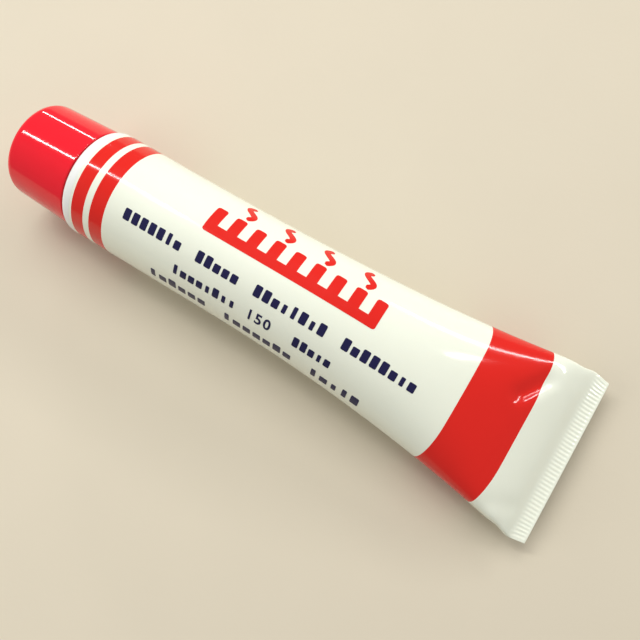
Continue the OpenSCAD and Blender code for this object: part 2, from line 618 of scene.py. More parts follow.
@dataclass
class SleeveForm:
    """The filled sleeve's outer surface: a round tube that flattens, at constant girth, to a crimp."""

    place: TubeFrame
    wall: float = 0.5 * MM
    patch_width: float = 8 * MM
    spigot: float = 3 * MM
    settle: float = 18 * MM
    taper_start: float = 55 * MM
    taper_shape: float = 2.6
    taper_end: float = 0.68
    crimp_depth: float = 4.5 * MM
    crimp_thickness: float = 1.0 * MM
    droop_start: float = 83 * MM
    droop: float = 8.5 * MM
    squareness: float = 6.0
    square_late: int = 12
    strip_blend: float = 0.9 * MM
    blend_start: float = 8 * MM
    blend_full: float = 4 * MM
    corner_trim: float = 0.9 * MM
    trim_start: float = 6 * MM
    trim_past_end: float = 1.2 * MM
    trim_width: float = 7 * MM
    relief_fade: float = 2.5 * MM
    relief_in_strip: float = 0.5 * MM
    stations: int = 700
    around: int = 720
    fine_points: int = 2881
    creases: tuple[Crease, ...] = ()
    ripple: Ripple = Ripple()
    waist: Waist = Waist()
    jaws: JawMarks = JawMarks()

    def __post_init__(self) -> None:
        """Work out the surface on a fine grid of s and v."""
        place = self.place
        self.crimp_start = place.length - self.crimp_depth
        self.girth = 2 * math.pi * place.radius
        self.sag = place.radius - math.sqrt(place.radius ** 2 - self.patch_width ** 2 / 4)
        self.s_grid = np.linspace(place.sleeve_front, place.length, self.stations)
        rows = self._blended(np.stack([self._section(s) for s in self.s_grid]))
        along = np.gradient(rows, self.s_grid, axis=0)
        round_ = np.roll(rows, -1, axis=1) - np.roll(rows, 1, axis=1)
        normals = np.cross(along, round_)
        normals /= np.linalg.norm(normals, axis=2, keepdims=True)
        self.rows = rows
        self.normals = normals

    def from_top(self, v: np.ndarray) -> np.ndarray:
        """The shorter way round from the top line, negative towards -Y."""
        return (v + self.girth / 2) % self.girth - self.girth / 2

    def to_side(self, v: np.ndarray) -> np.ndarray:
        """The way round to the nearer side of the sleeve."""
        return np.abs(np.abs(self.from_top(v)) - self.girth / 4)

    def taper(self, s: np.ndarray | float) -> np.ndarray:
        """Share of the way from round, 0, to the crimp, 1."""
        return np.clip((s - self.taper_start) / (self.crimp_start - self.taper_start), 0.0, 1.0)

    def half_height(self, s: np.ndarray | float) -> np.ndarray:
        """Half of the section's height at s."""
        thin = self.crimp_thickness / 2
        rise = (1.0 - self.taper(s) ** self.taper_shape) ** self.taper_end
        return thin + (self.place.radius - thin) * rise

    def half_width(self, s: np.ndarray | float) -> np.ndarray:
        """Half of the section's width at s, from the girth that stays the same."""
        k = math.log(2) / math.log(math.pi / 2)
        flat = (math.pi * self.place.radius / 2) ** k
        return (flat - self.half_height(s) ** k) ** (1 / k)

    def centre_z(self, s: np.ndarray | float) -> np.ndarray:
        """Height of the section's middle at s."""
        t = np.clip((s - self.place.sleeve_front - self.spigot) / self.settle, 0.0, 1.0)
        down = np.maximum(0.0, (s - self.droop_start) / (self.place.length - self.droop_start))
        return self.place.axis_z - self.sag * t * t * (3 - 2 * t) - self.droop * down ** 2

    def _section(self, s: float) -> np.ndarray:
        """Points round the section at s, evenly spaced from its top line towards +Y."""
        turn = np.linspace(0.0, 2 * math.pi, self.fine_points)
        bend = 2.0 / (2.0 + self.squareness * self.taper(s) ** self.square_late)
        side, up = np.sin(turn), np.cos(turn)
        y = self.half_width(s) * np.sign(side) * np.abs(side) ** bend
        z = self.centre_z(s) + self.half_height(s) * np.sign(up) * np.abs(up) ** bend
        z = np.maximum(z, 0.0)
        walked = np.concatenate([[0.0], np.cumsum(np.hypot(np.diff(y), np.diff(z)))])
        even = np.linspace(0.0, walked[-1], self.around, endpoint=False)
        x = np.full(self.around, self.place.start_x + s)
        return np.stack([x, np.interp(even, walked, y), np.interp(even, walked, z)], axis=1)

    def _blended(self, rows: np.ndarray) -> np.ndarray:
        """The rows with the corner where the sealed strip begins drawn out into a soft curve."""
        step = self.s_grid[1] - self.s_grid[0]
        spread = int(3 * self.strip_blend / step)
        kernel = np.exp(-0.5 * (np.arange(-spread, spread + 1) * step / self.strip_blend) ** 2)
        kernel /= kernel.sum()
        padded = np.concatenate([rows, np.repeat(rows[-1:], spread, axis=0)])
        soft = rows.copy()
        for k in range(spread, len(rows)):
            near = padded[k - spread : k + spread + 1, :, 1:]
            soft[k, :, 1:] = np.tensordot(kernel, near, axes=(0, 0))
        start = self.crimp_start - self.blend_start
        share = smooth(self.s_grid, start, self.crimp_start - self.blend_full)
        return rows + (soft - rows) * share[:, None, None]

    def _clipped(self, points: np.ndarray, s: np.ndarray) -> np.ndarray:
        """The points with the strip's two outer corners trimmed at a slant."""
        place = self.place
        reach = smooth(s, place.length - self.trim_start, place.length + self.trim_past_end)
        half = place.crimp_half_width
        side = smooth(np.abs(points[:, 1]), half - self.trim_width, half)
        points[:, 1] -= np.sign(points[:, 1]) * self.corner_trim * reach * side
        points[:, 0] = np.minimum(points[:, 0], place.start_x + place.length)
        return points

    def relief(self, s: np.ndarray, v: np.ndarray) -> np.ndarray:
        """How far the surface is pressed in by hand and by the seal, at each point."""
        depth = self.ripple.at(self, s, v)
        for crease in self.creases:
            depth = depth + crease.at(s, self.from_top(v))
        depth = depth + self.waist.at(self, s, v)
        before_strip = smooth(self.crimp_start - s, -self.relief_in_strip, self.relief_fade)
        return depth * before_strip + self.jaws.at(self, s, v)

    def at(self, s: np.ndarray, v: np.ndarray, lift: np.ndarray | float = 0.0) -> np.ndarray:
        """Points on the sleeve.

        Args:
            s: Distances along the tube.
            v: Distances round the sleeve from its top line.
            lift: How far outside the surface each point is.

        Returns:
            Positions in the frame, one row each.
        """
        step = self.s_grid[1] - self.s_grid[0]
        row = np.clip((s - self.s_grid[0]) / step, 0, self.stations - 1.000001)
        column = (v / self.girth % 1.0) * self.around
        i, j = row.astype(int), column.astype(int) % self.around
        a, b = (row - i)[:, None], (column - np.floor(column))[:, None]
        i2, j2 = i + 1, (j + 1) % self.around

        def mixed(table: np.ndarray) -> np.ndarray:
            """Read the table between its grid points."""
            near = table[i, j] * (1 - b) + table[i, j2] * b
            far = table[i2, j] * (1 - b) + table[i2, j2] * b
            return near * (1 - a) + far * a

        normal = mixed(self.normals)
        normal /= np.linalg.norm(normal, axis=1, keepdims=True)
        out = np.asarray(lift) - self.relief(s, v)
        points = mixed(self.rows) + normal * np.broadcast_to(out, s.shape)[:, None]
        points[:, 2] = np.maximum(points[:, 2], 0.0)
        return self._clipped(points, s)

    def wrap(self, mesh: bpy.types.Mesh) -> bpy.types.Mesh:
        """Lay a flat mesh, drawn with s, v and lift as its coordinates, on the sleeve."""
        flat = np.empty(len(mesh.vertices) * 3, np.float32)
        mesh.vertices.foreach_get("co", flat)
        flat = flat.reshape(-1, 3).astype(float)
        laid = self.at(flat[:, 0], flat[:, 1], flat[:, 2])
        mesh.vertices.foreach_set("co", laid.astype(np.float32).ravel())
        mesh.update()
        return mesh


@dataclass(frozen=True)
class Band:
    """A printed band right round the sleeve."""

    start: float
    end: float


@dataclass
class TubeSleeve:
    """The flexible sleeve: one wall from the head's weld to the sealed strip, with its bands."""

    form: SleeveForm
    bands: tuple[Band, ...]
    points_per_ridge: int = 6
    round_pitch: float = 2.4 * MM
    taper_pitch: float = 1.5 * MM
    tail_pitch: float = 0.4 * MM
    tail_length: float = 23 * MM
    edge_round: float = 0.2 * MM
    cavity_end: float = 0.8 * MM
    bow: float = 2.25 * MM
    bow_width: float = 10 * MM
    bow_start: float = 60 * MM
    bow_full: float = 36 * MM
    straight_start: float = 13 * MM
    straight_full: float = 5 * MM

    def _bowed(self, s: float, v: np.ndarray) -> np.ndarray:
        """Places along the tube of a printed line's points, drawn towards the cap at its sides."""
        form, end = self.form, self.form.place.length
        tail = smooth(np.float64(s), end - self.bow_start, end - self.bow_full)
        strip = smooth(np.float64(s), end - self.straight_start, end - self.straight_full)
        reach = form.girth / 4 - self.bow_width
        drawn = np.clip(1.0 - form.to_side(v) / reach, 0.0, 1.0) ** 2
        return s - self.bow * drawn * tail * (1.0 - strip)

    def _rows(self) -> np.ndarray:
        """Stations from the front to the tail, with one at each edge of a band."""
        place = self.form.place
        tail = place.length - self.tail_length
        edges = [edge for band in self.bands for edge in (band.start, band.end)]
        steps = np.concatenate(
            [
                np.arange(place.sleeve_front, self.form.droop_start, self.round_pitch),
                np.arange(self.form.droop_start, tail, self.taper_pitch),
                np.arange(tail, place.length - 1.2 * self.edge_round, self.tail_pitch),
            ]
        )
        near = 0.45 * self.tail_pitch
        clear = [s for s in steps if all(abs(s - edge) > near for edge in edges)]
        return np.sort(np.array(clear + edges))

    def _inner_rows(self, outer: np.ndarray) -> np.ndarray:
        """Every third station, from the end of the cavity back to the front."""
        cavity = outer[outer < self.form.crimp_start - self.cavity_end]
        return np.append(cavity[:0:-3], cavity[0])

    def skin(self) -> bpy.types.Mesh:
        """The sleeve as a hollow wall, with its printed bands as separate faces."""
        form, end = self.form, self.form.place.length
        around = self.points_per_ridge * form.jaws.ridges
        v = np.arange(around) * form.girth / around
        outer = self._rows()
        inner = self._inner_rows(outer)
        rings = [form.at(self._bowed(s, v), v, -form.wall) for s in inner]
        rings += [form.at(self._bowed(s, v), v, 0.0) for s in outer]
        for turn in np.radians([0, 30, 60, 85]):
            s = end - self.edge_round * (1 - math.sin(turn))
            rings.append(form.at(np.full(around, s), v, -self.edge_round * (1 - math.cos(turn))))
        faces = ring_faces(len(rings), around)
        last = (len(rings) - 1) * around
        for base, flip in ((0, False), (last, True)):
            for i in range(around // 2):
                corners = (i, i + 1, around - i - 1, (around - i) % around)
                face = tuple(base + corner for corner in dict.fromkeys(corners))
                faces.append(face[::-1] if flip else face)
        mesh = mesh_from("tube_sleeve_skin", np.concatenate(rings), faces)
        for k in range(len(outer) - 1):
            middle = (outer[k] + outer[k + 1]) / 2
            if any(band.start < middle < band.end for band in self.bands):
                row = (len(inner) + k) * around
                for i in range(around):
                    mesh.polygons[row + i].material_index = 1
        return outward(mesh)

    def build(self, white: bpy.types.Material, red: bpy.types.Material) -> None:
        """Make the sleeve."""
        show("tube_sleeve_skin", self.skin(), [white, red], Body.TUBE, ("tube_sleeve",))


# ---------------------------------------------------------------------------------------------
# Print
# ---------------------------------------------------------------------------------------------


@dataclass(frozen=True)
class InkLine:
    """A line of small text, shown as a row of plain blocks in words."""

    start: float
    end: float
    base: float
    small: float
    tall: float
    words: tuple[int, ...]
    seed: int


@dataclass
class LabelPrint:
    """The ink on the sleeve: bars for its small print, figures for its content, and an emblem."""

    form: SleeveForm
    film: float = 0.05 * MM
    sunk: float = 0.03 * MM
    thinnest: float = 0.03 * MM
    points_across: int = 5
    word_gap: float = 1.6
    block_share: float = 0.74
    block_corner: float = 0.3 * MM
    tall_share: float = 0.28
    slim_share: float = 0.3
    slim_by: float = 0.42
    figure_share: float = 0.73
    figure_spacing: float = 1.2
    figure_weight: float = 0.03
    longest_edge: float = 0.6 * MM

    def stroke(
        self, path: list[tuple[float, float]], width: float, corner: float
    ) -> bpy.types.Mesh:
        """A flat stroke of ink.

        Args:
            path: Points of its middle line as s and v, close together.
            width: The stroke's width.
            corner: Radius of the corners at its ends.

        Returns:
            A closed thin mesh in s, v and lift.
        """
        line = np.array(path, float)
        run = np.gradient(line, axis=0)
        run /= np.linalg.norm(run, axis=1, keepdims=True)
        side = np.stack([-run[:, 1], run[:, 0]], axis=1)
        walked = np.concatenate([[0.0], np.cumsum(np.linalg.norm(np.diff(line, axis=0), axis=1))])
        to_end = np.minimum(walked, walked[-1] - walked)
        short = np.clip(corner - to_end, 0.0, corner)
        half = width / 2 - corner + np.sqrt(np.maximum(corner ** 2 - short ** 2, 0.0))
        half = np.maximum(half, self.thinnest)
        across = np.linspace(-1.0, 1.0, self.points_across)
        aside = (half[:, None] * across)[..., None]
        top = (line[:, None, :] + side[:, None, :] * aside).reshape(-1, 2)
        count, wide = len(line), len(across)
        flat = np.concatenate(
            [np.c_[top, np.full(len(top), self.film)], np.c_[top, np.full(len(top), -self.sunk)]]
        )
        below = len(top)
        faces = []
        for i in range(count - 1):
            for j in range(wide - 1):
                a, b = i * wide + j, (i + 1) * wide + j
                faces.append((a, b, b + 1, a + 1))
                faces.append((below + a, below + a + 1, below + b + 1, below + b))
            a, b = i * wide, (i + 1) * wide
            faces.append((a, below + a, below + b, b))
            faces.append((a + wide - 1, b + wide - 1, below + b + wide - 1, below + a + wide - 1))
        end = (count - 1) * wide
        for j in range(wide - 1):
            faces.append((j, j + 1, below + j + 1, below + j))
            faces.append((end + j, below + end + j, below + end + j + 1, end + j + 1))
        return outward(mesh_from("stroke", flat, faces))

    def bar(self, width: float, height: float, corner: float) -> bpy.types.Mesh:
        """An upright stroke with its foot at the origin."""
        ends = np.concatenate([np.linspace(0, corner, 6), np.linspace(corner, height - corner, 7)])
        ends = np.unique(np.concatenate([ends, np.linspace(height - corner, height, 6)]))
        return self.stroke([(0.0, float(v)) for v in ends], width, corner)

    def row_tree(self, material: bpy.types.Material) -> GeometryTree:
        """The tree that sets copies of one block in a row, some of them taller."""
        tree = GeometryTree("ink_row")
        count, pitch = tree.size("Count", "Int"), tree.size("Pitch")
        block, tall = tree.size("Block", "Object"), tree.size("Tall")
        share, seed = tree.size("Tall Share"), tree.size("Seed", "Int")
        slim = tree.size("Slim Share")
        step = tree.add("ShaderNodeCombineXYZ", {"X": pitch})
        line = tree.add("GeometryNodeMeshLine", {"Count": count, "Offset": step}, mode="OFFSET")
        dots = tree.add("GeometryNodeMeshToPoints", {"Mesh": line})
        index = tree.add("GeometryNodeInputIndex", {})

        def chance(likely: bpy.types.NodeSocket, draw: object) -> bpy.types.NodeSocket:
            """Draw true or false for each copy."""
            values = {"Probability": likely, "Seed": draw}
            node = tree.node("FunctionNodeRandomValue", values, data_type="BOOLEAN")
            return node.outputs[3]

        first = tree.math("LESS_THAN", index, 0.5)
        raised = tree.math("MAXIMUM", first, chance(share, seed))
        stretch = tree.math("ADD", 1.0, tree.math("MULTIPLY", raised, tall))
        thin = chance(slim, tree.math("ADD", seed, 100.0))
        narrow = tree.math("SUBTRACT", 1.0, tree.math("MULTIPLY", thin, self.slim_by))
        scale = tree.add("ShaderNodeCombineXYZ", {"X": narrow, "Y": stretch, "Z": 1.0})
        source = tree.node("GeometryNodeObjectInfo", {"Object": block}).outputs["Geometry"]
        copies = tree.add(
            "GeometryNodeInstanceOnPoints", {"Points": dots, "Instance": source, "Scale": scale}
        )
        tree.close(copies, material)
        return tree

    def row(
        self, tree: GeometryTree, block: bpy.types.Mesh, at: tuple[float, float], values: dict
    ) -> bpy.types.Mesh:
        """A row of copies of a block, starting at a place on the sleeve, still flat."""
        holder = placed("ink_block", block)
        mesh = tree.grow({**values, "Block": holder})
        bpy.data.objects.remove(holder)
        mesh.transform(Matrix.Translation((at[0], at[1], 0.0)))
        return mesh

    def small_print(self, tree: GeometryTree, line: InkLine) -> list[bpy.types.Mesh]:
        """The blocks of one line of small print, word by word."""
        letters = sum(line.words) + self.word_gap * (len(line.words) - 1)
        pitch = (line.end - line.start) / letters
        width = pitch * self.block_share
        block = self.bar(width, line.small, self.block_corner)
        made, s = [], line.start + width / 2
        for k, count in enumerate(line.words):
            values = {
                "Count": count,
                "Pitch": pitch,
                "Tall": line.tall / line.small - 1.0,
                "Tall Share": self.tall_share,
                "Slim Share": self.slim_share,
                "Seed": line.seed + k,
            }
            made.append(self.row(tree, block, (s, line.base), values))
            s += pitch * (count + self.word_gap)
        return made

    def figures(self, text: str, s: float, base: float, height: float) -> bpy.types.Mesh:
        """Plain figures, still flat."""
        curve = bpy.data.curves.new("figures", "FONT")
        curve.body = text
        curve.size = height / self.figure_share
        curve.space_character = self.figure_spacing
        curve.offset = height * self.figure_weight
        curve.extrude = (self.film + self.sunk) / 2
        curve.resolution_u = 6
        holder = placed("figures", curve)
        mesh = evaluated(holder)
        bpy.data.objects.remove(holder)
        work = bmesh.new()
        work.from_mesh(mesh)
        bmesh.ops.remove_doubles(work, verts=work.verts, dist=0.001 * MM)
        for _ in range(3):
            long = [e for e in work.edges if e.calc_length() > self.longest_edge]
            bmesh.ops.subdivide_edges(work, edges=long, cuts=1)
            bmesh.ops.triangulate(work, faces=work.faces)
        work.to_mesh(mesh)
        work.free()
        mesh.transform(Matrix.Translation((s, base, (self.film - self.sunk) / 2)))
        return mesh

    def emblem(self, tree: GeometryTree) -> list[bpy.types.Mesh]:
        """A finned heat sink with streams of warm air rising from it."""
        left, right, foot = mm(58.0, 106.0, 0.2)
        plate, plate_corner = mm(2.6, 0.6)
        fins, fin_width, fin_top, fin_corner = 9, *mm(3.0, 7.6, 0.7)
        base = [(float(s), foot + plate / 2) for s in np.linspace(left, right, 60)]
        made = [self.stroke(base, plate, plate_corner)]
        pitch = (right - left - fin_width) / (fins - 1)
        alike = {"Tall": 0.0, "Tall Share": 0.0, "Slim Share": 0.0, "Seed": 1}
        fin = self.bar(fin_width, fin_top, fin_corner)
        start = (left + fin_width / 2, foot)
        comb = self.row(tree, fin, start, {"Count": fins, "Pitch": pitch, **alike})
        # The fins' ink is a little thicker than the plate's, so their faces don't coincide.
        proud = 1.2
        comb.transform(Matrix.Diagonal((1.0, 1.0, proud, 1.0)))
        made.append(comb)
        streams, sway, gap, rise, width, corner = 4, *mm(1.4, 1.0, 6.1, 1.6, 0.78)
        for k in range(streams):
            middle = left + fin_width / 2 + pitch * (1 + 2 * k)
            path = [
                (middle + sway * math.sin(2 * math.pi * t), foot + fin_top + gap + rise * t)
                for t in np.linspace(0.0, 1.0, 36).tolist()
            ]
            made.append(self.stroke(path, width, corner))
        return made

    def build(self, red: bpy.types.Material, navy: bpy.types.Material) -> None:
        """Make the printed pieces."""
        tree = self.row_tree(navy)
        lines = (
            InkLine(*mm(38.6, 121.6, -7.5, 2.2, 3.0), words=(7, 5, 8, 8), seed=11),
            InkLine(*mm(55.4, 74.6, -13.7, 2.0, 2.7), words=(8,), seed=23),
            InkLine(*mm(90.6, 101.6, -13.7, 2.0, 2.7), words=(5,), seed=31),
            InkLine(*mm(48.6, 111.8, -19.4, 2.1, 2.8), words=(6, 7, 5), seed=47),
        )
        flat = [mesh for line in lines for mesh in self.small_print(tree, line)]
        flat.append(self.figures("150", 77.3 * MM, -13.8 * MM, 3.0 * MM))
        text = self.form.wrap(joined("label_small_print", flat))
        show("label_small_print", text, [navy], Body.TUBE)
        sign = self.form.wrap(joined("label_emblem", self.emblem(tree)))
        show("label_emblem", sign, [red], Body.TUBE)


# ---------------------------------------------------------------------------------------------
# Head, seal and contents
# ---------------------------------------------------------------------------------------------


@dataclass(frozen=True)
class ScrewThread:
    """A right-hand ridge wound round the neck or inside the cap's socket."""

    pitch: float
    turns: float
    start: float
    foot_radius: float
    crest_radius: float
    foot_width: float
    crest_width: float
    rounding: float = 0.16 * MM
    runout_turns: float = 0.25
    runout_scale: float = 0.4

    def build(self, place: TubeFrame, material: bpy.types.Material) -> bpy.types.Mesh:
        """Wind the ridge.

        Args:
            place: Where the tube's axis is.
            material: The ridge's finish.

        Returns:
            The ridge's closed mesh, in place.
        """
        tree = GeometryTree("screw_thread")
        turns, radius, rise = tree.size("Turns"), tree.size("Radius"), tree.size("Rise")
        height, foot, crest = tree.size("Height"), tree.size("Foot Width"), tree.size("Crest Width")
        helix = tree.add(
            "GeometryNodeCurveSpiral",
            {
                "Resolution": 72,
                "Rotations": turns,
                "Start Radius": radius,
                "End Radius": radius,
                "Height": rise,
                "Reverse": True,
            },
        )
        upright = tree.add("GeometryNodeSetCurveNormal", {"Curve": helix}, mode="Z_UP")
        reach = tree.math("MULTIPLY", height, 0.5 * self._sense())
        stand = tree.add("ShaderNodeCombineXYZ", {"X": reach})
        side = tree.add(
            "GeometryNodeCurvePrimitiveQuadrilateral",
            {"Height": height, "Bottom Width": foot, "Top Width": crest, "Offset": 0.0},
            mode="TRAPEZOID",
        )
        lying = tree.add(
            "GeometryNodeTransform",
            {"Geometry": side, "Translation": stand, "Rotation": (0.0, 0.0, self._lean())},
        )
        eased = tree.add(
            "GeometryNodeFilletCurve",
            {"Curve": lying, "Radius": self.rounding, "Count": 4},
            mode="POLY",
        )
        share = tree.add("GeometryNodeSplineParameter", {})
        turn_share = tree.math("DIVIDE", self.runout_turns, turns)
        grow_in = tree.fade(share, 0.0, turn_share)
        grow_out = tree.fade(tree.math("SUBTRACT", 1.0, share), 0.0, turn_share)
        full = tree.math("MULTIPLY", grow_in, grow_out)
        low = self.runout_scale
        whole = tree.math("MULTIPLY_ADD", full, 1.0 - low, low)
        ridge = tree.add(
            "GeometryNodeCurveToMesh",
            {"Curve": upright, "Profile Curve": eased, "Scale": whole, "Fill Caps": True},
        )
        tree.close(ridge, material)
        mesh = tree.grow(
            {
                "Turns": self.turns,
                "Radius": self.foot_radius,
                "Rise": self.pitch * self.turns,
                "Height": abs(self.crest_radius - self.foot_radius),
                "Foot Width": self.foot_width,
                "Crest Width": self.crest_width,
            }
        )
        mesh.transform(Matrix.Translation((0.0, 0.0, self.start)))
        return outward(place.turn_mesh(mesh))

    def _lean(self) -> float:
        """Turn of the profile that puts its wide side at the foot."""
        return -self._sense() * math.pi / 2

    def _sense(self) -> int:
        """1 where the ridge stands outwards, -1 where it stands inwards."""
        return 1 if self.crest_radius > self.foot_radius else -1


@dataclass
class TubeHead:
    """The stiff moulded head, its foil seal and the paste behind it."""

    place: TubeFrame
    form: SleeveForm
    neck_tip: float = 3.0 * MM
    neck_radius: float = 6.0 * MM
    neck_base: float = 15.5 * MM
    bore_radius: float = 4.2 * MM
    orifice_radius: float = 2.5 * MM
    rim_round: float = 2.0 * MM
    wall: float = 1.2 * MM
    spigot: float = 3.0 * MM

    def shell(self) -> bpy.types.Mesh:
        """Shoulder and neck, turned from one outline."""
        big, tip, base = self.place.radius, self.neck_tip, self.neck_base
        rim = self.place.cap_length + 0.3 * MM
        cone, inside = big - self.rim_round, big - self.form.wall - 0.03 * MM
        front = self.place.sleeve_front
        corners = [
            (self.orifice_radius, tip + 0.5 * MM, 0.0),
            (self.orifice_radius, tip, 0.15 * MM),
            (self.neck_radius, tip, 0.4 * MM),
            (self.neck_radius, base, 0.8 * MM),
            (cone, rim, 0.5 * MM),
            (big, rim, self.rim_round * 0.93),
            (big, front - 0.02 * MM, 0.05 * MM),
            (inside, front - 0.02 * MM, 0.1 * MM),
            (inside, front + self.spigot, 0.25 * MM),
            (inside - self.wall, front + self.spigot, 0.25 * MM),
            (inside - self.wall, rim + self.wall + 1.0 * MM, 0.6 * MM),
            (cone - self.wall, rim + self.wall, 0.6 * MM),
            (self.bore_radius, base + self.wall, 0.6 * MM),
            (self.bore_radius, tip + 1.0 * MM, 0.2 * MM),
            (self.orifice_radius, tip + 1.0 * MM, 0.1 * MM),
            (self.orifice_radius, tip + 0.5 * MM, 0.0),
        ]
        outline = soften(corners)[:-1]
        return self.place.lathe("tube_head_shell", outline, closed=True, around=240)

    def thread(self) -> ScrewThread:
        """The neck's own thread."""
        return ScrewThread(
            pitch=3.0 * MM,
            turns=3.0,
            start=self.neck_tip + 1.6 * MM,
            foot_radius=self.neck_radius - 0.15 * MM,
            crest_radius=self.neck_radius + 0.9 * MM,
            foot_width=1.6 * MM,
            crest_width=0.7 * MM,
        )

    def seal(self) -> bpy.types.Mesh:
        """The foil across the neck's tip, marked by the sealing head and slightly puckered."""
        rings, around, radius = 26, 144, self.neck_radius - 0.4 * MM
        teeth, circles, lobes, swirl = 36, 9, 5, 4
        land, low_share = 0.48, 0.35
        knurl_share, pucker_share = 0.3, 0.25
        low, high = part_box("orifice_seal")
        thick = high.x - low.x
        angles = np.linspace(0.0, 2 * math.pi, around, endpoint=False)
        points = [np.array([[0.0, 0.0, thick * low_share]])]
        for side in (1, -1):
            for k in range(1, rings + 1):
                r = radius * (k if side > 0 else rings + 1 - k) / rings
                share = r / radius
                wave = np.cos(angles * teeth) * math.sin(math.pi * share * circles)
                held = min(1.0, 3 * max(0.0, (share - land) / (1.0 - land)))
                pucker = 0.5 + 0.5 * np.sin(angles * lobes + share * swirl)
                knurl = knurl_share * (0.5 + 0.5 * wave) * held
                sink = thick * (knurl + pucker_share * pucker * (1 - share))
                top = sink if side > 0 else np.full(around, thick)
                points.append(np.stack([r * np.cos(angles), r * np.sin(angles), top], axis=1))
        points.append(np.array([[0.0, 0.0, thick]]))
        flat = np.concatenate(points)
        flat[:, 2] += low.x - self.place.start_x
        faces = [tuple(i + 1 for i in face) for face in ring_faces(2 * rings, around)]
        end, last = len(flat) - 1, 1 + (2 * rings - 1) * around
        faces += fan_faces(0, 1, around, False)
        faces += fan_faces(end, last, around, True)
        return outward(mesh_from("orifice_foil", self.place.turned(flat), faces))

    def paste(self) -> bpy.types.Mesh:
        """The fill: the sleeve's inside, with rounded ends."""
        form, around = self.form, 160
        low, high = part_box("heat_transfer_compound")
        start, end = low.x - self.place.start_x, high.x - self.place.start_x
        v = np.arange(around) * form.girth / around
        rings = []
        stations, end_angle, end_share = 70, 0.04, 0.35
        end_length, clearance = mm(5.0, 0.15)
        turns = np.linspace(end_angle, math.pi - end_angle, stations)
        for t in (0.5 - 0.5 * np.cos(turns)).tolist():
            s = start + (end - start) * t
            edge = min(1.0, min(s - start, end - s) / end_length)
            swell = math.sqrt(1.0 - (1.0 - edge) ** 2)
            ring = form.at(np.full(around, s), v, -form.wall - clearance)
            middle = ring.mean(axis=0)
            rings.append(middle + (ring - middle) * (end_share + (1.0 - end_share) * swell))
        faces = ring_faces(len(rings), around)
        last = (len(rings) - 1) * around
        points = np.concatenate(rings + [rings[0].mean(axis=0)[None], rings[-1].mean(axis=0)[None]])
        faces += fan_faces(len(points) - 2, 0, around, False)
        faces += fan_faces(len(points) - 1, last, around, True)
        return outward(mesh_from("paste_fill", points, faces))

    def build(
        self, white: bpy.types.Material, foil: bpy.types.Material, paste: bpy.types.Material
    ) -> None:
        """Make the head's pieces."""
        show("tube_head_shell", self.shell(), [white], Body.TUBE, ("tube_head",))
        ridge = self.thread().build(self.place, white)
        show("neck_thread", ridge, [white], Body.TUBE, ("tube_head",))
        show("orifice_foil", self.seal(), [foil], Body.TUBE, ("orifice_seal",))
        show("paste_fill", self.paste(), [paste], Body.TUBE, ("heat_transfer_compound",))


# ---------------------------------------------------------------------------------------------
# Cap
# ---------------------------------------------------------------------------------------------


